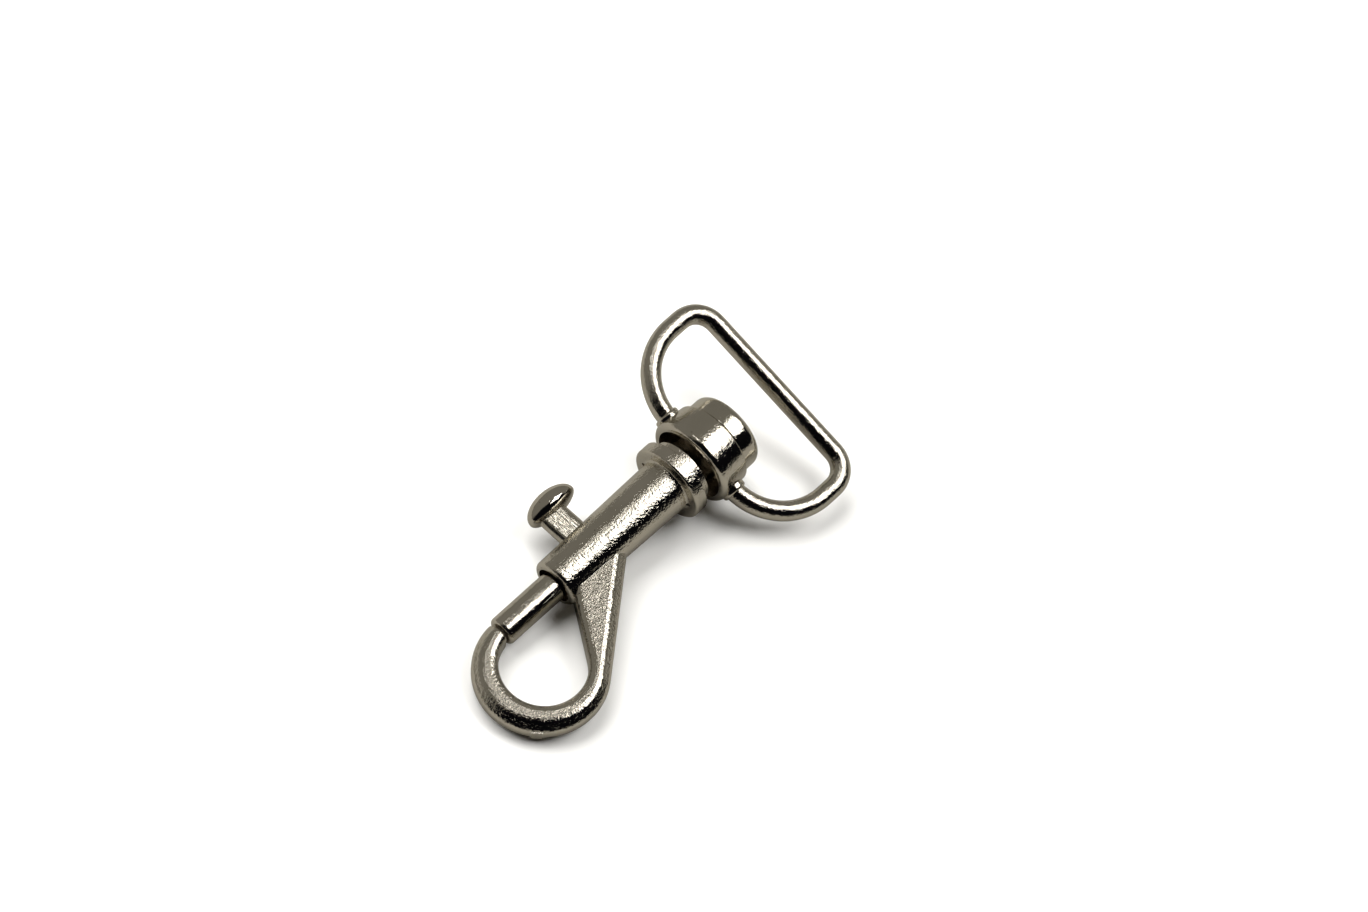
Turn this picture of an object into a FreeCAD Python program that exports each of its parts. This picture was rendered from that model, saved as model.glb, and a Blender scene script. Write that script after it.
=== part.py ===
import FreeCAD, Part
import math
import os

import Sketcher

# A one-inch swivel snap: a die-cast hook with a spring bolt, and a D-ring that swivels behind it.
#
# Frame: +X runs along the swivel axis from the hook to the D-ring, +Z is square to the hook's flat
# side, and the thumb knob is on the +Y side. The origin is on the swivel axis, where a webbing loop
# bears on the inside of the D-ring's bar.
#
# Each body is drawn in its own coordinates, with X counted from the rear face of the hook's flange.
# Its Placement then carries it to the row's origin.

# name: (millimetres or degrees, what it is)
DIMENSIONS = {
    "eye_width": (25.0, "inside width of the D-ring, for one-inch webbing"),
    "wire": (2.55, "diameter of the D-ring's wire"),
    "bar_line": (17.47, "centre line of the D-ring's bar"),
    "wire_line": (4.26, "where the wire's two ends enter the collar"),
    "corner_bend": (3.17, "bend radius at the ends of the bar, on the centre line"),
    "shoulder_bend": (8.3, "bend radius where the wire leaves the collar, on the centre line"),
    "swivel_angle": (15.0, "turn of the D-ring and collar about the axis, as the snap lies"),
    "flange_length": (1.78, "thickness of the flange behind the barrel"),
    "flange_radius": (5.13, "radius of the flange"),
    "flange_round": (0.3, "rounding of the flange's front edge"),
    "flange_rear_round": (0.1, "rounding of the flange's rear edge"),
    "barrel_length": (19.33, "barrel, from its front rim to the flange"),
    "barrel_front_radius": (3.17, "barrel radius at the front rim"),
    "barrel_rear_radius": (3.52, "barrel radius at the flange"),
    "barrel_round": (0.57, "rounding of the barrel's front rim"),
    "flange_fillet": (0.31, "fillet between the barrel and the flange"),
    "flash_nick": (0.32, "radius of the nick where flash was trimmed off, each side of the flange"),
    "post_step_length": (1.15, "first step of the post behind the flange"),
    "post_step_radius": (4.2, "radius of that step"),
    "post_cone_end": (3.43, "where the post's cone ends"),
    "post_radius": (3.12, "radius of the post inside the collar"),
    "post_end": (4.52, "rear end of the post"),
    "bore_radius": (1.95, "bore that holds the bolt, the spring and the stud"),
    "mouth_radius": (2.39, "wider mouth of the bore at the front rim"),
    "mouth_depth": (1.04, "depth of that mouth"),
    "slot_width": (2.2, "width of the knob's slot in the barrel"),
    "slot_front": (-18.2, "front end of the slot"),
    "crown_x": (-30.17, "centre of the loop's outer circle, along the axis"),
    "crown_y": (-6.81, "centre of the loop's outer circle, across the axis"),
    "crown_radius": (8.22, "outer radius of the loop"),
    "eye_x": (-29.64, "centre of the loop's opening, along the axis"),
    "eye_y": (-6.66, "centre of the loop's opening, across the axis"),
    "eye_radius": (5.3, "radius of the loop's opening"),
    "loop_thickness": (3.54, "thickness of the loop and the leg along Z"),
    "loop_round": (1.0, "rounding of the loop's and the leg's edges"),
    "crown_slope": (1.1, "slope of the loop's outer edges"),
    "leg_front": (-20.28, "front corner of the leg inside the barrel's wall"),
    "leg_rear": (-10.71, "rear corner of the leg inside the barrel's wall"),
    "leg_depth": (2.29, "depth, from the axis, that the leg reaches into the barrel's wall"),
    "nose_face": (-30.37, "end face of the hook's nose"),
    "nose_round": (0.3, "rounding of the nose's end face"),
    "gate_angle": (221.0, "where the casting gate was cut off the loop, from +X"),
    "gate_width": (1.4, "width of the gate's stub"),
    "gate_height": (1.5, "height of the gate's stub along Z"),
    "gate_proud": (0.02, "how far the stub stands proud of the loop"),
    "bolt_radius": (1.87, "radius of the bolt"),
    "bolt_tip": (-30.05, "front end of the closed bolt"),
    "bolt_rear": (-11.44, "rear end of the closed bolt"),
    "bolt_round": (0.5, "rounding of the bolt's front end"),
    "bolt_travel": (7.6, "how far the bolt slides back"),
    "stem_x": (-14.57, "centre of the knob's stem on the closed bolt"),
    "stem_length": (3.92, "stem, along the axis"),
    "stem_thickness": (1.9, "stem, along Z"),
    "stem_top": (7.4, "top of the stem, inside the head"),
    "head_x": (-13.8, "centre of the knob's head, along the axis"),
    "head_rim": (7.5, "height of the head's widest line above the axis"),
    "head_length": (7.2, "head, along the axis"),
    "head_width": (4.4, "head, along Z"),
    "head_dome": (2.02, "height of the head above its widest line"),
    "head_under": (1.3, "depth of the head below its widest line"),
    "collar_front": (2.2, "front rim of the collar"),
    "collar_rear": (6.5, "rear face of the collar"),
    "collar_radius": (6.0, "radius of the collar at its front rim"),
    "collar_rear_radius": (5.62, "radius of the collar at its rear rim"),
    "collar_front_round": (0.7, "rounding of the collar's front rim"),
    "collar_rear_round": (0.15, "rounding of the collar's rear rim"),
    "cup_mouth_radius": (4.95, "radius of the collar's hollow at its mouth"),
    "cup_floor_radius": (4.3, "radius of the collar's hollow at its floor"),
    "cup_floor": (4.68, "floor of the collar's hollow"),
    "swivel_clearance": (0.08, "running clearance between the collar and the stud, on the radius"),
    "ear_radius": (1.62, "radius of the two bosses that hold the wire"),
    "ear_reach": (6.35, "end of each boss, from the axis"),
    "ear_round": (0.35, "rounding of each boss's end"),
    "socket_depth": (1.25, "depth of the wire's socket in each boss"),
    "stud_front": (0.83, "front end of the stud, which backs the spring"),
    "head_front": (6.66, "front face of the stud's head"),
    "head_rear": (9.6, "rear face of the stud's head"),
    "cap_radius": (5.1, "radius of the stud's head"),
    "cap_round": (1.1, "rounding of the head's rear edge"),
    "cap_front_round": (0.26, "rounding of the head's front edge"),
    "spring_wire": (0.44, "diameter of the spring's wire"),
    "spring_radius": (1.5, "radius of the spring's centre line"),
    "spring_turns": (8.0, "turns of the spring"),
    "spring_gap": (0.06, "clearance at each end of the spring"),
}

doc = FreeCAD.newDocument("SwivelSnap")
sheet = doc.addObject("Spreadsheet::Sheet", "Dims")
for row, (name, (size, note)) in enumerate(DIMENSIONS.items(), start=1):
    sheet.set(f"A{row}", name)
    sheet.set(f"B{row}", str(size))
    sheet.set(f"C{row}", note)
    sheet.setAlias(f"B{row}", name)
doc.recompute()

# Lengths that follow from the sheet, as expressions
HALF_SPAN = "(Dims.eye_width + Dims.wire) / 2"
BAR_SEAT = "(Dims.bar_line - Dims.wire / 2)"
STEM_FRONT = "(Dims.stem_x - Dims.stem_length / 2)"
STEM_REAR = "(Dims.stem_x + Dims.stem_length / 2)"
BARREL_FRONT = "(-Dims.flange_length - Dims.barrel_length)"
SOCKET_FLOOR = "(Dims.ear_reach - Dims.socket_depth)"
# The slot runs on a little way behind the stem of the open bolt.
SLOT_REAR = f"({STEM_REAR} + Dims.bolt_travel + Dims.slot_width / 3)"


def value(expression):
    """The number that an expression has now."""
    return float(sheet.evalExpression(expression))


def new_body(label):
    """A body whose Label names its file, carried from the flange's face to the row's origin."""
    body = doc.addObject("PartDesign::Body", label)
    body.Label = label
    place(body)
    return body


def place(item):
    """Move an object from the flange's rear face to the row's origin."""
    item.setExpression("Placement.Base.x", f"-{BAR_SEAT}")


def swivel(item):
    """Turn an object about the swivel axis to the angle that the D-ring lies at."""
    item.Placement = FreeCAD.Placement(FreeCAD.Vector(), FreeCAD.Rotation(FreeCAD.Vector(1, 0, 0), 1))
    place(item)
    item.setExpression("Placement.Rotation.Angle", "Dims.swivel_angle")


def new_sketch(body, name, plane):
    """A sketch on one of the body's own origin planes."""
    sketch = body.newObject("Sketcher::SketchObject", name)
    origin_plane = next(item for item in body.Origin.OriginFeatures if item.Role == plane)
    sketch.AttachmentSupport = [(origin_plane, "")]
    sketch.MapMode = "FlatFace"
    return sketch


def bind(sketch, kind, where, expression, name):
    """A dimension of a sketch that follows an expression."""
    index = sketch.addConstraint(Sketcher.Constraint(kind, *where, value(expression)))
    sketch.renameConstraint(index, name)
    sketch.setExpression(f"Constraints.{name}", expression)


def pin_point(sketch, geometry, end, across, up, name):
    """Hold one end of a sketch line at a place given by two expressions; "0" means on the axis."""
    if across == "0":
        sketch.addConstraint(Sketcher.Constraint("PointOnObject", geometry, end, -2))
    else:
        bind(sketch, "DistanceX", (-1, 1, geometry, end), across, f"{name}_x")
    if up == "0":
        sketch.addConstraint(Sketcher.Constraint("PointOnObject", geometry, end, -1))
    else:
        bind(sketch, "DistanceY", (-1, 1, geometry, end), up, f"{name}_y")


def polygon(body, name, plane, corners):
    """A closed sketch of straight sides, each corner a pair of expressions."""
    sketch = new_sketch(body, name, plane)
    points = [FreeCAD.Vector(value(across), value(up), 0) for across, up in corners]
    count = len(points)
    for i in range(count):
        sketch.addGeometry(Part.LineSegment(points[i], points[(i + 1) % count]))
    for i in range(count):
        sketch.addConstraint(Sketcher.Constraint("Coincident", i, 2, (i + 1) % count, 1))
    for i, (across, up) in enumerate(corners):
        pin_point(sketch, i, 1, across, up, f"corner_{i}")
    return sketch


def circle(body, name, plane, across, up, radius):
    """A sketch of one circle, its centre and radius given as expressions."""
    sketch = new_sketch(body, name, plane)
    middle = FreeCAD.Vector(value(across), value(up), 0)
    sketch.addGeometry(Part.Circle(middle, FreeCAD.Vector(0, 0, 1), value(radius)))
    pin_point(sketch, 0, 3, across, up, "middle")
    bind(sketch, "Radius", (0,), radius, "radius")
    return sketch


def obround(body, name, front, rear, width):
    """A round-ended sketch seen along Y: its two ends and its width given as expressions."""
    sketch = new_sketch(body, name, "XZ_Plane")
    half = value(width) / 2
    up = FreeCAD.Vector(0, 0, 1)
    side = FreeCAD.Vector(0, half, 0)
    right = math.pi / 2
    front_middle = FreeCAD.Vector(value(front) + half, 0, 0)
    rear_middle = FreeCAD.Vector(value(rear) - half, 0, 0)
    sketch.addGeometry(Part.ArcOfCircle(Part.Circle(front_middle, up, half), right, 3 * right))
    sketch.addGeometry(Part.LineSegment(front_middle - side, rear_middle - side))
    sketch.addGeometry(Part.ArcOfCircle(Part.Circle(rear_middle, up, half), -right, right))
    sketch.addGeometry(Part.LineSegment(rear_middle + side, front_middle + side))
    for i in range(4):
        sketch.addConstraint(Sketcher.Constraint("Tangent", i, 2, (i + 1) % 4, 1))
    pin_point(sketch, 0, 3, f"{front} + {width} / 2", "0", "front")
    pin_point(sketch, 2, 3, f"{rear} - {width} / 2", "0", "rear")
    bind(sketch, "Radius", (0,), f"{width} / 2", "half_width")
    return sketch


def turned(body, name, kind, corners):
    """Turn a profile about the X axis: a Revolution adds it, a Groove cuts it."""
    profile = polygon(body, f"{name}_profile", "XY_Plane", corners)
    feature = body.newObject(f"PartDesign::{kind}", name)
    feature.Profile = profile
    feature.ReferenceAxis = (profile, ["H_Axis"])
    feature.Angle = 360
    doc.recompute()
    return feature


def round_rims(body, name, radius, rims):
    """Fillet the full circles that lie at the given pairs of X and radius."""
    tip = body.Tip
    wanted = [(value(across), value(size)) for across, size in rims]
    names = []
    for number, edge in enumerate(tip.Shape.Edges, start=1):
        if not isinstance(edge.Curve, Part.Circle):
            continue
        found = (edge.Curve.Center.x, edge.Curve.Radius)
        if any(math.dist(found, rim) < 0.01 for rim in wanted):
            names.append(f"Edge{number}")
    fillet = body.newObject("PartDesign::Fillet", name)
    fillet.Base = (tip, names)
    fillet.setExpression("Radius", radius)
    doc.recompute()


def gate_corner(side, proud):
    """A corner of the gate's stub: half its width to one side, and so far out from the crown's edge."""
    out = f"(Dims.crown_radius + {proud})"
    along = f"({side} * Dims.gate_width / 2)"
    across = f"Dims.crown_x + {out} * cos(Dims.gate_angle) - {along} * sin(Dims.gate_angle)"
    up = f"Dims.crown_y + {out} * sin(Dims.gate_angle) + {along} * cos(Dims.gate_angle)"
    return across, up


def make_hook_body():
    """The die-casting: the loop, its leg, the barrel with bore and slot, the flange and the post."""
    body = new_body("hook_body")
    outline = new_sketch(body, "loop_outline", "XY_Plane")
    crown = FreeCAD.Vector(value("Dims.crown_x"), value("Dims.crown_y"), 0)
    eye = FreeCAD.Vector(value("Dims.eye_x"), value("Dims.eye_y"), 0)
    crown_radius = value("Dims.crown_radius")
    eye_radius = value("Dims.eye_radius")
    nose_x = value("Dims.nose_face")
    root_front = FreeCAD.Vector(value("Dims.leg_front"), -value("Dims.leg_depth"), 0)
    root_rear = FreeCAD.Vector(value("Dims.leg_rear"), -value("Dims.leg_depth"), 0)

    def tangent_angle(middle, radius, target):
        """Angle on a circle where the line to a point above and behind it touches."""
        away = target - middle
        return math.atan2(away.y, away.x) - math.acos(radius / away.Length)

    def arc_to_leg(middle, radius, target):
        """The circle's arc from the nose, round the crown, to where the leg leaves it."""
        start = math.acos((nose_x - middle.x) / radius)
        end = tangent_angle(middle, radius, target) + 2 * math.pi
        return Part.ArcOfCircle(Part.Circle(middle, FreeCAD.Vector(0, 0, 1), radius), start, end)

    outer = arc_to_leg(crown, crown_radius, root_rear)
    inner = arc_to_leg(eye, eye_radius, root_front)
    outline.addGeometry(outer)
    outline.addGeometry(Part.LineSegment(outer.EndPoint, root_rear))
    outline.addGeometry(Part.LineSegment(root_rear, root_front))
    outline.addGeometry(Part.LineSegment(root_front, inner.EndPoint))
    outline.addGeometry(inner)
    outline.addGeometry(Part.LineSegment(inner.StartPoint, outer.StartPoint))
    outline.addConstraint(Sketcher.Constraint("Tangent", 0, 2, 1, 1))
    outline.addConstraint(Sketcher.Constraint("Coincident", 1, 2, 2, 1))
    outline.addConstraint(Sketcher.Constraint("Coincident", 2, 2, 3, 1))
    outline.addConstraint(Sketcher.Constraint("Tangent", 3, 2, 4, 2))
    outline.addConstraint(Sketcher.Constraint("Coincident", 4, 1, 5, 1))
    outline.addConstraint(Sketcher.Constraint("Coincident", 5, 2, 0, 1))
    outline.addConstraint(Sketcher.Constraint("Vertical", 5))
    pin_point(outline, 0, 3, "Dims.crown_x", "Dims.crown_y", "crown")
    pin_point(outline, 4, 3, "Dims.eye_x", "Dims.eye_y", "eye")
    bind(outline, "Radius", (0,), "Dims.crown_radius", "crown_radius")
    bind(outline, "Radius", (4,), "Dims.eye_radius", "eye_radius")
    pin_point(outline, 1, 2, "Dims.leg_rear", "-Dims.leg_depth", "root_rear")
    pin_point(outline, 3, 1, "Dims.leg_front", "-Dims.leg_depth", "root_front")
    bind(outline, "DistanceX", (-1, 1, 5, 1), "Dims.nose_face", "nose_face")

    loop = body.newObject("PartDesign::Pad", "loop")
    loop.Profile = outline
    loop.Midplane = True
    loop.setExpression("Length", "Dims.loop_thickness")
    doc.recompute()

    # The crown's two outer edges slope away from a ridge near the eye.
    crown_edges = []
    for number, edge in enumerate(loop.Shape.Edges, start=1):
        on_crown = isinstance(edge.Curve, Part.Circle) and abs(edge.Curve.Radius - crown_radius) < 0.01
        along_leg = edge.BoundBox.YMin < root_rear.y - 1 and edge.BoundBox.XMax > root_rear.x - 0.01
        if edge.BoundBox.ZLength < 0.01 and (on_crown or along_leg) and edge.BoundBox.XLength > 0.01:
            crown_edges.append(f"Edge{number}")
    sloped = body.newObject("PartDesign::Chamfer", "crown_slope")
    sloped.Base = (loop, crown_edges)
    sloped.setExpression("Size", "Dims.crown_slope")
    doc.recompute()

    # Every edge that bounds the flat sides and the slopes is rounded, except at the nose and root.
    flat_edges = []
    for number, edge in enumerate(sloped.Shape.Edges, start=1):
        box = edge.BoundBox
        at_nose = box.XLength < 0.01
        in_barrel = box.YMin > root_rear.y - 0.01
        if box.ZLength < 0.01 and not at_nose and not in_barrel:
            flat_edges.append(f"Edge{number}")
    rounded = body.newObject("PartDesign::Fillet", "loop_rounding")
    rounded.Base = (sloped, flat_edges)
    rounded.setExpression("Radius", "Dims.loop_round")
    doc.recompute()
    nose_edges = []
    for number, edge in enumerate(rounded.Shape.Edges, start=1):
        if edge.BoundBox.XLength < 0.01 and abs(edge.BoundBox.XMin - nose_x) < 0.01:
            nose_edges.append(f"Edge{number}")
    nose = body.newObject("PartDesign::Fillet", "nose_rounding")
    nose.Base = (rounded, nose_edges)
    nose.setExpression("Radius", "Dims.nose_round")
    doc.recompute()

    # The stub that is left where the casting's gate was cut off.
    stub = body.newObject("PartDesign::Pad", "gate_stub")
    stub.Profile = polygon(body, "gate_outline", "XY_Plane", [
        gate_corner(-1, "-1"),
        gate_corner(1, "-1"),
        gate_corner(1, "Dims.gate_proud"),
        gate_corner(-1, "Dims.gate_proud"),
    ])
    stub.Midplane = True
    stub.setExpression("Length", "Dims.gate_height")
    doc.recompute()

    turned(body, "barrel", "Revolution", [
        (BARREL_FRONT, "0"),
        (BARREL_FRONT, "Dims.barrel_front_radius"),
        ("-Dims.flange_length", "Dims.barrel_rear_radius"),
        ("-Dims.flange_length", "Dims.flange_radius"),
        ("0", "Dims.flange_radius"),
        ("0", "Dims.post_step_radius"),
        ("Dims.post_step_length", "Dims.post_step_radius"),
        ("Dims.post_cone_end", "Dims.post_radius"),
        ("Dims.post_end", "Dims.post_radius"),
        ("Dims.post_end", "0"),
    ])
    round_rims(body, "flange_rounding", "Dims.flange_round", [
        ("-Dims.flange_length", "Dims.flange_radius"),
    ])
    round_rims(body, "flange_rear_rounding", "Dims.flange_rear_round", [("0", "Dims.flange_radius")])
    round_rims(body, "barrel_rounding", "Dims.barrel_round", [(BARREL_FRONT, "Dims.barrel_front_radius")])
    round_rims(body, "flange_filleting", "Dims.flange_fillet", [
        ("-Dims.flange_length", "Dims.barrel_rear_radius"),
    ])
    turned(body, "bore", "Groove", [
        (f"{BARREL_FRONT} - 1", "0"),
        (f"{BARREL_FRONT} - 1", "Dims.mouth_radius"),
        (f"{BARREL_FRONT} + Dims.mouth_depth", "Dims.mouth_radius"),
        (f"{BARREL_FRONT} + Dims.mouth_depth", "Dims.bore_radius"),
        ("Dims.post_end + 1", "Dims.bore_radius"),
        ("Dims.post_end + 1", "0"),
    ])

    # Flash was trimmed off at the mould's parting line, which left a nick on each side.
    for side, name in ((1, "upper"), (-1, "lower")):
        nick = body.newObject("PartDesign::SubtractiveSphere", f"{name}_flash_nick")
        nick.setExpression("Radius", "Dims.flash_nick")
        nick.setExpression("Placement.Base.x", "-Dims.flange_length")
        nick.setExpression("Placement.Base.y", f"{side} * (Dims.barrel_rear_radius + Dims.flash_nick / 2)")
        doc.recompute()

    # The knob's slot: a round-ended opening through the barrel's +Y wall.
    slot_outline = obround(body, "slot_outline", "Dims.slot_front", SLOT_REAR, "Dims.slot_width")
    whole = body.Tip.Shape.Volume
    slot = body.newObject("PartDesign::Pocket", "slot")
    slot.Profile = slot_outline
    slot.Reversed = False
    slot.setExpression("Length", "Dims.flange_radius")
    doc.recompute()
    if whole - body.Tip.Shape.Volume < 1:
        raise RuntimeError("the slot cuts nothing")
    return body


def make_bolt():
    """The round gate bolt, with a pocket across it that holds the knob's stem."""
    body = new_body("bolt")
    turned(body, "rod", "Revolution", [
        ("Dims.bolt_tip", "0"),
        ("Dims.bolt_tip", "Dims.bolt_radius"),
        ("Dims.bolt_rear", "Dims.bolt_radius"),
        ("Dims.bolt_rear", "0"),
    ])
    round_rims(body, "tip_rounding", "Dims.bolt_round", [("Dims.bolt_tip", "Dims.bolt_radius")])
    whole = body.Tip.Shape.Volume
    seat = stem_section(body, "stem_seat_outline")
    pocket = body.newObject("PartDesign::Pocket", "stem_seat")
    pocket.Profile = seat
    pocket.setExpression("Length", "Dims.bolt_radius + 1")
    doc.recompute()
    if whole - body.Tip.Shape.Volume < 1:
        raise RuntimeError("the stem's seat cuts nothing")
    return body


def stem_section(body, name):
    """The round-ended section of the knob's stem, seen along Y."""
    return obround(body, name, STEM_FRONT, STEM_REAR, "Dims.stem_thickness")


def make_thumb_knob():
    """The flat stem that stands in the bolt, and its oval head, flatter underneath than on top."""
    stem_body = doc.addObject("PartDesign::Body", "stem")
    stem = stem_body.newObject("PartDesign::Pad", "stem_pad")
    stem.Profile = stem_section(stem_body, "stem_outline")
    stem.Reversed = True
    stem.setExpression("Length", "Dims.stem_top")
    halves = []
    parts_of_head = (("dome", "Dims.head_dome", 0, 90), ("underside", "Dims.head_under", -90, 0))
    for name, height, low, high in parts_of_head:
        half = doc.addObject("Part::Ellipsoid", name)
        half.setExpression("Radius1", height)
        half.setExpression("Radius2", "Dims.head_length / 2")
        half.setExpression("Radius3", "Dims.head_width / 2")
        half.Angle1 = low
        half.Angle2 = high
        tip_up = FreeCAD.Rotation(FreeCAD.Vector(1, 0, 0), -90)
        half.Placement = FreeCAD.Placement(FreeCAD.Vector(), tip_up)
        half.setExpression("Placement.Base.x", "Dims.head_x")
        half.setExpression("Placement.Base.y", "Dims.head_rim")
        halves.append(half)
    knob = doc.addObject("Part::MultiFuse", "thumb_knob")
    knob.Label = "thumb_knob"
    knob.Shapes = [stem_body] + halves
    knob.Refine = True
    place(knob)
    doc.recompute()
    return knob


def make_return_spring():
    """The compression spring between the bolt and the stud."""
    body = new_body("return_spring")
    start = "(Dims.bolt_rear + Dims.spring_gap + Dims.spring_wire / 2)"
    end = "(Dims.stud_front - Dims.spring_gap - Dims.spring_wire / 2)"
    section = circle(
        body, "spring_section", "XY_Plane", start, "Dims.spring_radius", "Dims.spring_wire / 2")
    coil = body.newObject("PartDesign::AdditiveHelix", "coil")
    coil.Profile = section
    coil.ReferenceAxis = (section, ["H_Axis"])
    coil.Mode = "height-turns-angle"
    coil.setExpression("Height", f"{end} - {start}")
    coil.setExpression("Turns", "Dims.spring_turns")
    doc.recompute()
    return body


def make_swivel_stud():
    """The stud that holds the collar: a shank fixed in the post, and a wide head behind the collar."""
    body = new_body("swivel_stud")
    turned(body, "turned_stud", "Revolution", [
        ("Dims.stud_front", "0"),
        ("Dims.stud_front", "Dims.bore_radius"),
        ("Dims.head_front", "Dims.bore_radius"),
        ("Dims.head_front", "Dims.cap_radius"),
        ("Dims.head_rear", "Dims.cap_radius"),
        ("Dims.head_rear", "0"),
    ])
    round_rims(body, "cap_rounding", "Dims.cap_round", [("Dims.head_rear", "Dims.cap_radius")])
    round_rims(body, "cap_front_rounding", "Dims.cap_front_round", [
        ("Dims.head_front", "Dims.cap_radius"),
    ])
    return body


def make_swivel_collar():
    """The cup that turns on the stud, with a boss on each side for the D-ring's wire."""
    body = new_body("swivel_collar")
    turned(body, "drum", "Revolution", [
        ("Dims.collar_front", "0"),
        ("Dims.collar_front", "Dims.collar_radius"),
        ("Dims.collar_rear", "Dims.collar_rear_radius"),
        ("Dims.collar_rear", "0"),
    ])
    round_rims(body, "rim_rounding", "Dims.collar_front_round", [
        ("Dims.collar_front", "Dims.collar_radius"),
    ])
    round_rims(body, "rear_rounding", "Dims.collar_rear_round", [
        ("Dims.collar_rear", "Dims.collar_rear_radius"),
    ])
    ears = body.newObject("PartDesign::Pad", "ears")
    ears.Profile = circle(body, "ear_outline", "XZ_Plane", "Dims.wire_line", "0", "Dims.ear_radius")
    ears.Midplane = True
    ears.setExpression("Length", "2 * Dims.ear_reach")
    doc.recompute()
    round_rims(body, "ear_rounding", "Dims.ear_round", [("Dims.wire_line", "Dims.ear_radius")])
    turned(body, "hollow", "Groove", [
        ("Dims.collar_front - 1", "0"),
        ("Dims.collar_front - 1", "Dims.cup_mouth_radius"),
        ("Dims.collar_front", "Dims.cup_mouth_radius"),
        ("Dims.cup_floor", "Dims.cup_floor_radius"),
        ("Dims.cup_floor", "Dims.bore_radius + Dims.swivel_clearance"),
        ("Dims.collar_rear + 1", "Dims.bore_radius + Dims.swivel_clearance"),
        ("Dims.collar_rear + 1", "0"),
    ])
    for side, name in ((1, "upper"), (-1, "lower")):
        outline = circle(
            body, f"{name}_socket_outline", "XZ_Plane", "Dims.wire_line", "0", "Dims.wire / 2")
        outline.setExpression("AttachmentOffset.Base.z", f"{-side} * {SOCKET_FLOOR}")
        whole = body.Tip.Shape.Volume
        socket = body.newObject("PartDesign::Pocket", f"{name}_socket")
        socket.Profile = outline
        socket.Reversed = side < 0
        socket.setExpression("Length", "Dims.socket_depth + 1")
        doc.recompute()
        if whole - body.Tip.Shape.Volume < 1:
            raise RuntimeError(f"the {name} socket cuts nothing")
    swivel(body)
    return body


def make_d_ring():
    """The bent wire: out of one boss, round a shoulder, across the bar and back to the other boss."""
    body = new_body("d_ring")
    spine = new_sketch(body, "wire_path", "XY_Plane")
    end_x = value("Dims.wire_line")
    bar_x = value("Dims.bar_line")
    span = value(HALF_SPAN)
    shoulder = value("Dims.shoulder_bend")
    corner = value("Dims.corner_bend")
    socket_y = value(SOCKET_FLOOR)
    up = FreeCAD.Vector(0, 0, 1)
    right = math.pi / 2
    for side in (1, -1):
        shoulder_middle = FreeCAD.Vector(end_x + shoulder, side * (span - shoulder), 0)
        corner_middle = FreeCAD.Vector(bar_x - corner, side * (span - corner), 0)
        shoulder_turn = (right, 2 * right) if side > 0 else (2 * right, 3 * right)
        corner_turn = (0, right) if side > 0 else (3 * right, 4 * right)
        spine.addGeometry(Part.LineSegment(
            FreeCAD.Vector(end_x, side * socket_y, 0), FreeCAD.Vector(end_x, shoulder_middle.y, 0)))
        spine.addGeometry(Part.ArcOfCircle(Part.Circle(shoulder_middle, up, shoulder), *shoulder_turn))
        spine.addGeometry(Part.LineSegment(
            FreeCAD.Vector(shoulder_middle.x, side * span, 0),
            FreeCAD.Vector(corner_middle.x, side * span, 0)))
        spine.addGeometry(Part.ArcOfCircle(Part.Circle(corner_middle, up, corner), *corner_turn))
    spine.addGeometry(Part.LineSegment(
        FreeCAD.Vector(bar_x, span - corner, 0), FreeCAD.Vector(bar_x, corner - span, 0)))
    for first, side in ((0, 1), (4, -1)):
        tag = "upper" if side > 0 else "lower"
        # An arc's own start and end swap places on the mirrored side.
        near, far = (2, 1) if side > 0 else (1, 2)
        spine.addConstraint(Sketcher.Constraint("Tangent", first, 2, first + 1, near))
        spine.addConstraint(Sketcher.Constraint("Tangent", first + 1, far, first + 2, 1))
        spine.addConstraint(Sketcher.Constraint("Tangent", first + 2, 2, first + 3, near))
        spine.addConstraint(Sketcher.Constraint("Tangent", first + 3, far, 8, 1 if side > 0 else 2))
        spine.addConstraint(Sketcher.Constraint("Vertical", first))
        bind(spine, "Radius", (first + 1,), "Dims.shoulder_bend", f"{tag}_shoulder")
        bind(spine, "Radius", (first + 3,), "Dims.corner_bend", f"{tag}_corner")
        pin_point(spine, first, 1, "Dims.wire_line", f"{side} * {SOCKET_FLOOR}", f"{tag}_end")
        bind(spine, "DistanceY", (-1, 1, first + 2, 2), f"{side} * {HALF_SPAN}", f"{tag}_span")
    bind(spine, "DistanceX", (-1, 1, 8, 1), "Dims.bar_line", "bar_place")

    section = circle(body, "wire_section", "XZ_Plane", "Dims.wire_line", "0", "Dims.wire / 2")
    section.setExpression("AttachmentOffset.Base.z", f"-{SOCKET_FLOOR}")
    doc.recompute()
    ring = body.newObject("PartDesign::AdditivePipe", "ring")
    ring.Profile = section
    ring.Spine = (spine, [])
    doc.recompute()
    swivel(body)
    return body


pieces = [
    make_hook_body(),
    make_bolt(),
    make_thumb_knob(),
    make_return_spring(),
    make_swivel_stud(),
    make_swivel_collar(),
    make_d_ring(),
]
doc.recompute()

for item in doc.Objects:
    if "Invalid" in item.State or "Error" in item.State:
        raise RuntimeError(f"{item.Label} failed: {item.State}")
for piece in pieces:
    if piece.Shape.isNull() or not piece.Shape.isValid():
        raise RuntimeError(f"{piece.Label} has no valid shape")

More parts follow.
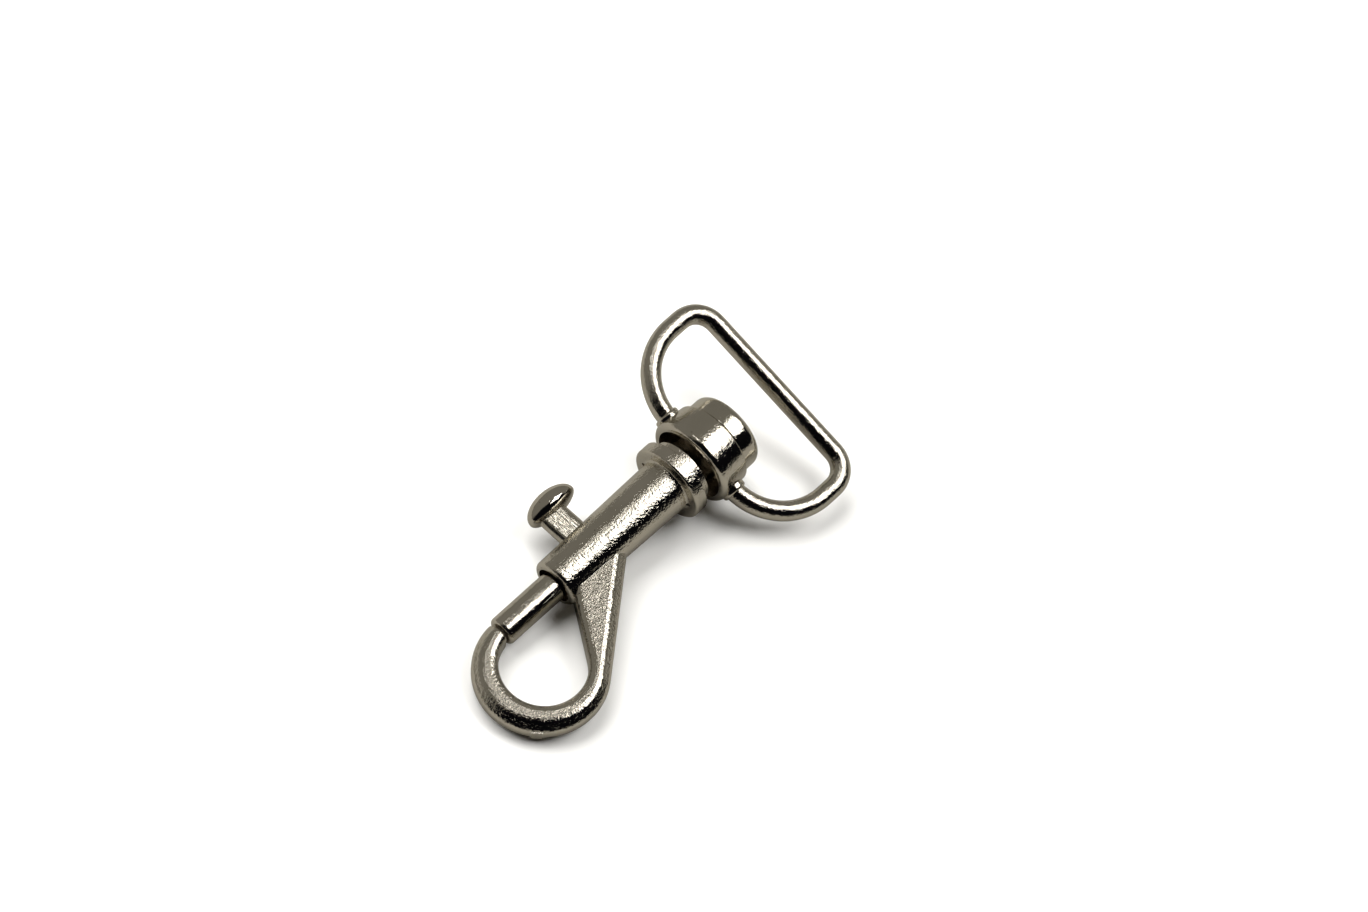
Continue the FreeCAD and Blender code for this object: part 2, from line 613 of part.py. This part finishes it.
os.makedirs("parts", exist_ok=True)
for piece in pieces:
    piece.Shape.exportStep(f"parts/{piece.Label}.step")
    box = piece.Shape.BoundBox
    print(f"{piece.Label}: {piece.Shape.Volume:.1f} mm3, {len(piece.Shape.Solids)} solid,"
          f" X {box.XMin:.2f} to {box.XMax:.2f}, Y {box.YMin:.2f} to {box.YMax:.2f},"
          f" Z {box.ZMin:.2f} to {box.ZMax:.2f}")
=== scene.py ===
from math import atan2, cos, radians, sin

import bpy
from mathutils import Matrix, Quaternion, Vector


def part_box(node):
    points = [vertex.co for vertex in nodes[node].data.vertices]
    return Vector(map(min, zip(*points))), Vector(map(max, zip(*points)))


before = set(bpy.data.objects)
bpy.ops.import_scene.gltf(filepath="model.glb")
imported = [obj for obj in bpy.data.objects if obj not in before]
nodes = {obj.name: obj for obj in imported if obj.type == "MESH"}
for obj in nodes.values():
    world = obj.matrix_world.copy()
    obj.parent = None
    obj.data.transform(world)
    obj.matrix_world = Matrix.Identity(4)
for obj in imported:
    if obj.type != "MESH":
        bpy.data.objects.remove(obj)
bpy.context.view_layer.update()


# ---- The table it lies on, the light and the camera --------------------------------------
# A white table top under two soft boxes that the metal mirrors and two lights that it doesn't, in
# a room that is grey on the far side and dark behind the camera. The hook lies on the collar's
# rim and the loop's bottom, so the table leans a little against the hook's own axes.
class Tone:
    """A shader node's socket. Arithmetic on it adds Math nodes, and add() adds any other node."""

    def __init__(self, tree, socket=None):
        self.tree = tree
        self.socket = socket

    def add(self, kind, settings=None, sockets=None, out=0):
        """Any node: its type, then its settings, then its sockets. Gives the socket named out."""
        node = self.tree.nodes.new("ShaderNode" + kind)
        for name, value in (settings or {}).items():
            setattr(node, name, value)
        for name, value in (sockets or {}).items():
            if isinstance(value, Tone):
                self.tree.links.new(value.socket, node.inputs[name])
            else:
                node.inputs[name].default_value = value
        return Tone(self.tree, node.outputs[out])

    def tint(self, under, over):
        """The colour under, turning to the colour over as this goes from 0 to 1."""
        return self.add(
            "Mix", {"data_type": "RGBA"}, {"Factor": self, "A": under, "B": over}, out="Result"
        )

    def math(self, operation, first, second):
        return self.add("Math", {"operation": operation}, {0: first, 1: second})

    def __add__(self, other):
        return self.math("ADD", self, other)

    def __radd__(self, other):
        return self.math("ADD", other, self)

    def __sub__(self, other):
        return self.math("SUBTRACT", self, other)

    def __rsub__(self, other):
        return self.math("SUBTRACT", other, self)

    def __mul__(self, other):
        return self.math("MULTIPLY", self, other)

    def __rmul__(self, other):
        return self.math("MULTIPLY", other, self)

    def between(self, low, high):
        """0 below low, 1 above high, and smooth from one to the other."""
        return self.add(
            "MapRange",
            {"interpolation_type": "SMOOTHSTEP"},
            {"Value": self, "From Min": low, "From Max": high},
        )


rim_inset = 0.0008
crown_inset = 0.0016
half_loop = 0.00177
table_radius = 2.5
collar_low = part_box("swivel_collar")[0]
hook_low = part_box("hook_body")[0]
rim_rest = Vector((collar_low.x + rim_inset, 0, collar_low.z))
loop_rest = Vector((hook_low.x + crown_inset, 0, -half_loop))
table_lean = atan2(loop_rest.z - rim_rest.z, rim_rest.x - loop_rest.x)
bpy.ops.mesh.primitive_circle_add(
    vertices=96,
    radius=table_radius,
    fill_type="NGON",
    location=rim_rest,
    rotation=(0, table_lean, 0),
)
table = bpy.context.object
table.name = "table_top"
table_paint = bpy.data.materials.new("table_white_painted_grey_in_reflections")
table_paint.use_nodes = True
table_shader = table_paint.node_tree.nodes["Principled BSDF"]
table_shader.inputs["Roughness"].default_value = 0.8
table_shader.inputs["Specular IOR Level"].default_value = 0.1
white = (0.9, 0.9, 0.895, 1)
# Painted reflection: the table is white to the camera but painted grey where the metal mirrors it,
# so the metal shows a darker table than there is.
painted_reflection_grey = (0.26, 0.25, 0.225, 1)
in_metal = Tone(table_paint.node_tree).add("LightPath", out="Is Glossy Ray")
table_white_painted_grey_in_reflections = in_metal.tint(white, painted_reflection_grey)
table_paint.node_tree.links.new(table_white_painted_grey_in_reflections.socket, table_shader.inputs["Base Color"])
table.data.materials.append(table_paint)

warm_white = (1, 0.99, 0.965)


def soft_box(name, heading, height, reach, width, depth, watts, mirrored):
    """An area light that is aimed at the hook.

    heading goes from +X towards +Y and height up from level, both in degrees. reach, width and
    depth are in metres. mirrored says whether reflections show it.
    """
    lamp = bpy.data.lights.new(name, "AREA")
    lamp.shape = "RECTANGLE"
    lamp.size = width
    lamp.size_y = depth
    lamp.energy = watts
    lamp.color = warm_white
    lamp_object = bpy.data.objects.new(name, lamp)
    bpy.context.scene.collection.objects.link(lamp_object)
    flat = cos(radians(height))
    lamp_object.location = reach * Vector(
        (flat * cos(radians(heading)), flat * sin(radians(heading)), sin(radians(height)))
    )
    lamp_object.rotation_euler = (-lamp_object.location).to_track_quat("-Z", "Y").to_euler()
    lamp_object.visible_glossy = mirrored


soft_box(
    "window_box",
    heading=-34,
    height=55,
    reach=0.9,
    width=0.54,
    depth=0.48,
    watts=3.4,
    mirrored=True,
)
soft_box(
    "overhead_box",
    heading=62,
    height=74,
    reach=0.9,
    width=0.14,
    depth=0.14,
    watts=0.3,
    mirrored=True,
)
soft_box(
    "room_light",
    heading=85,
    height=52,
    reach=1.1,
    width=1.4,
    depth=0.9,
    watts=20,
    mirrored=False,
)
soft_box(
    "near_light",
    heading=-30,
    height=50,
    reach=1.1,
    width=0.7,
    depth=0.5,
    watts=4,
    mirrored=False,
)

room = bpy.data.worlds.new("room")
room.use_nodes = True
bpy.context.scene.world = room
grey_wall = (0.2, 0.19, 0.168, 1)
dark_room = (0.003, 0.003, 0.004, 1)
white_backdrop = (1, 1, 0.99, 1)
towards_dark = (-0.45, -0.8, 0.1)
air = Tone(room.node_tree)
direction = air.add("TexCoord", out="Generated")
darkness = air.add(
    "VectorMath", {"operation": "DOT_PRODUCT"}, {0: direction, 1: towards_dark}, out="Value"
)
walls = darkness.between(0.0, 0.16).tint(grey_wall, dark_room)
seen = air.add("LightPath", out="Is Camera Ray").tint(walls, white_backdrop)
room.node_tree.links.new(seen.socket, room.node_tree.nodes["Background"].inputs["Color"])
bpy.context.scene.view_settings.view_transform = "Standard"

eye = Vector((-0.20275, -0.12632, 0.42537))
aim = Vector((-0.01410, 0.00083, 0.00118))
roll = radians(10.79)
camera_lens = bpy.data.cameras.new("camera")
camera_lens.lens = 105.26
camera_lens.clip_start = 0.01
camera = bpy.data.objects.new("camera", camera_lens)
bpy.context.scene.collection.objects.link(camera)
camera.location = eye
level_turn = (aim - eye).to_track_quat("-Z", "Y")
camera.rotation_euler = (level_turn @ Quaternion((0, 0, 1), roll)).to_euler()
bpy.context.scene.camera = camera


# ---- Hook body ----------------------------------------------------------------------------
# One zinc die casting: barrel, flange, post, leg and loop. It is barrel polished, then plated
# with bright nickel, so the casting's soft orange peel and small pits show under the shine.
clean_nickel = (0.62, 0.585, 0.505, 1)
pale_nickel = (0.68, 0.64, 0.56, 1)
# Colour of the painted highlight on edges.
painted_edge_highlight = (0.80, 0.77, 0.71, 1)
handled_film = (0.50, 0.46, 0.38, 1)
# Colour of the painted shade in hollows.
painted_hollow_shade = (0.17, 0.115, 0.06, 1)
pit_black = (0.10, 0.09, 0.08, 1)
mark_brown = (0.22, 0.19, 0.15, 1)


def nickel(name, peel, peel_size, satin, pits=0.5, marks=None):
    """Bright nickel plate over an orange peel, with a painted highlight on its edges and painted
    brown shade in its hollows.

    peel is the peel's height and peel_size its grain, both in metres. satin is the roughness, and
    pits runs from 0 to 1. marks, where a piece has its own, gives from the place and the normal a
    height and a roughness to add, and how dark the marks are.
    """
    finish = bpy.data.materials.new(name)
    finish.use_nodes = True
    tree = finish.node_tree
    shader = tree.nodes["Principled BSDF"]
    start = Tone(tree)
    place = start.add("TexCoord", out="Object")
    facing = start.add("TexCoord", out="Normal")

    def cloud(size, detail, offset=0.0):
        """Soft noise with a grain of this size, moved so that no two clouds are alike."""
        shifted = start.add("VectorMath", {"operation": "ADD"}, {0: place, 1: (offset, offset, 0)})
        return start.add(
            "TexNoise", sockets={"Vector": shifted, "Scale": 1 / size, "Detail": detail}
        )

    broad = cloud(0.006, 2)
    middle = cloud(peel_size * 2.5, 2, 0.3)
    fine = cloud(peel_size, 3, 0.7)

    # Pits stand in patches, where the casting was porous.
    pore_spacing = 0.0009
    pores = start.add(
        "TexVoronoi",
        {"feature": "F1"},
        {"Vector": place, "Scale": 1 / pore_spacing, "Randomness": 1.0},
    )
    porous_patch = cloud(0.004, 1, 1.1).between(0.5, 0.62)
    pit = (1 - pores.between(0.06, 0.16)) * porous_patch
    smudge = cloud(0.0022, 4, 2.3).between(0.48, 0.72)

    # Edges get a painted highlight, and hollows a painted brown shade.
    rounded = start.add("Bevel", {"samples": 4}, {"Radius": 0.0003})
    flat = start.add("NewGeometry", out="Normal")
    alignment = start.add(
        "VectorMath", {"operation": "DOT_PRODUCT"}, {0: rounded, 1: flat}, out="Value"
    )
    edge = (1 - alignment).between(0.02, 0.2)
    shelter = start.add("AmbientOcclusion", {"samples": 6}, {"Distance": 0.0025}, out="AO")
    shaded_hollow = (1 - shelter).between(0.4, 0.95)

    plate = broad.between(0.35, 0.65).tint(clean_nickel, pale_nickel)
    # Painted highlight: edges found by the bevel are painted brighter.
    plate = (edge * 0.6).tint(plate, painted_edge_highlight)
    plate = (smudge * 0.12).tint(plate, handled_film)
    # Painted shade: hollows found by ambient occlusion are painted dark brown.
    plate = (shaded_hollow * 0.85).tint(plate, painted_hollow_shade)
    plate = (pit * pits).tint(plate, pit_black)

    height = fine * 0.8 + middle * 0.8 - pit * (pits * 0.6)
    roughness = satin * (0.75 + 0.5 * middle) + smudge * 0.04 + shaded_hollow * 0.12 + pit * (pits * 0.3)
    if marks:
        mark_height, mark_roughness, mark_shade = marks(start, place, facing)
        height = height + mark_height
        roughness = roughness + mark_roughness
        plate = mark_shade.tint(plate, mark_brown)
    relief = start.add("Bump", sockets={"Strength": 1.0, "Distance": peel, "Height": height})
    shader.inputs["Metallic"].default_value = 1.0
    tree.links.new(plate.socket, shader.inputs["Base Color"])
    tree.links.new(roughness.socket, shader.inputs["Roughness"])
    tree.links.new(relief.socket, shader.inputs["Normal"])
    return finish


def dress(node, finish):
    """Gives a piece its finish in place of the plain one it came with."""
    slots = nodes[node].data.materials
    slots.clear()
    slots.append(finish)


def cast_marks(start, place, facing):
    """Sand-like grain on the casting's flat sides, and the ring that an ejector pin left."""
    upright = start.add("SeparateXYZ", sockets={0: facing}, out=2)
    flat_side = (upright * upright).between(0.975, 0.999)
    grain_size = 0.00016
    grain = start.add(
        "TexNoise", sockets={"Vector": place, "Scale": 1 / grain_size, "Detail": 2.0}
    )
    pin_place = (-0.0266, -0.0034, -0.0006)
    inside = 0.0008
    outside = 0.0009
    lip = 0.00006
    spread = start.add(
        "VectorMath", {"operation": "DISTANCE"}, {0: place, 1: pin_place}, out="Value"
    )
    ring = spread.between(inside, inside + lip) * (1 - spread.between(outside, outside + lip))
    return flat_side * grain * 0.6 - ring, flat_side * 0.02 + ring * 0.3, ring * 0.55


cast_nickel = nickel("cast_nickel", peel=0.00008, peel_size=0.0003, satin=0.04, marks=cast_marks)
dress("hook_body", cast_nickel)


# ---- Gate bolt ----------------------------------------------------------------------------
# A turned steel pin that slides in the barrel and closes the hook. It is nickel plated and
# scored by sliding, and its round-edged tip meets the nose.
def sliding_marks(start, place, _facing):
    """Fine scores along the bolt, from the barrel's mouth."""
    stretched = (120, 9000, 9000)
    along = start.add("Mapping", sockets={"Vector": place, "Scale": stretched})
    scores = start.add("TexNoise", sockets={"Vector": along, "Scale": 1.0, "Detail": 2.0})
    deep = scores.between(0.6, 0.75)
    return deep * -0.3, deep * 0.1, deep * 0.3


bolt_nickel = nickel(
    "bolt_nickel", peel=0.00003, peel_size=0.0003, satin=0.08, marks=sliding_marks
)
dress("bolt", bolt_nickel)


# ---- Thumb knob ---------------------------------------------------------------------------
# A small zinc casting pressed into the bolt through the slot: a flat round-ended stem, left as
# it was brushed, and an oval head polished to a mirror.
def stem_marks(start, place, _facing):
    """Brushed lines along the stem's height, which end under the head."""
    stem_end = 0.0064
    head_start = 0.0068
    stretched = (9000, 500, 9000)
    height = start.add("SeparateXYZ", sockets={0: place}, out=1)
    stem = 1 - height.between(stem_end, head_start)
    along = start.add("Mapping", sockets={"Vector": place, "Scale": stretched})
    lines = start.add("TexNoise", sockets={"Vector": along, "Scale": 1.0, "Detail": 2.0})
    dark_line = stem * lines.between(0.6, 0.8)
    return stem * lines * 3.0, stem * (0.04 + 0.1 * lines), dark_line * 0.4


knob_nickel = nickel(
    "knob_nickel", peel=0.000012, peel_size=0.0005, satin=0.03, marks=stem_marks
)
dress("thumb_knob", knob_nickel)


# ---- Return spring ------------------------------------------------------------------------
# Stainless spring wire, wound open, behind the bolt inside the barrel. It pushes the bolt
# out until the tip meets the nose.
spring_steel = nickel("spring_steel", peel=0.000002, peel_size=0.0001, satin=0.22, pits=0.0)
dress("return_spring", spring_steel)


# ---- Swivel stud --------------------------------------------------------------------------
# A turned steel pin with a wide cap, pressed into the post through the collar and nickel
# plated. It keeps the collar on and lets it turn.
stud_nickel = nickel("stud_nickel", peel=0.00003, peel_size=0.0003, satin=0.08)
dress("swivel_stud", stud_nickel)


# ---- Swivel collar ------------------------------------------------------------------------
# A zinc cup casting, nickel plated, that turns on the stud. The boss on each side holds one
# end of the ring's wire.
collar_nickel = nickel("collar_nickel", peel=0.00004, peel_size=0.00026, satin=0.06)
dress("swivel_collar", collar_nickel)


# ---- D-ring -------------------------------------------------------------------------------
# Round steel wire bent to a D and nickel plated, its two ends closed into the collar's bosses.
# Webbing is sewn round its straight bar.
ring_nickel = nickel("ring_nickel", peel=0.00006, peel_size=0.00024, satin=0.05)
dress("d_ring", ring_nickel)
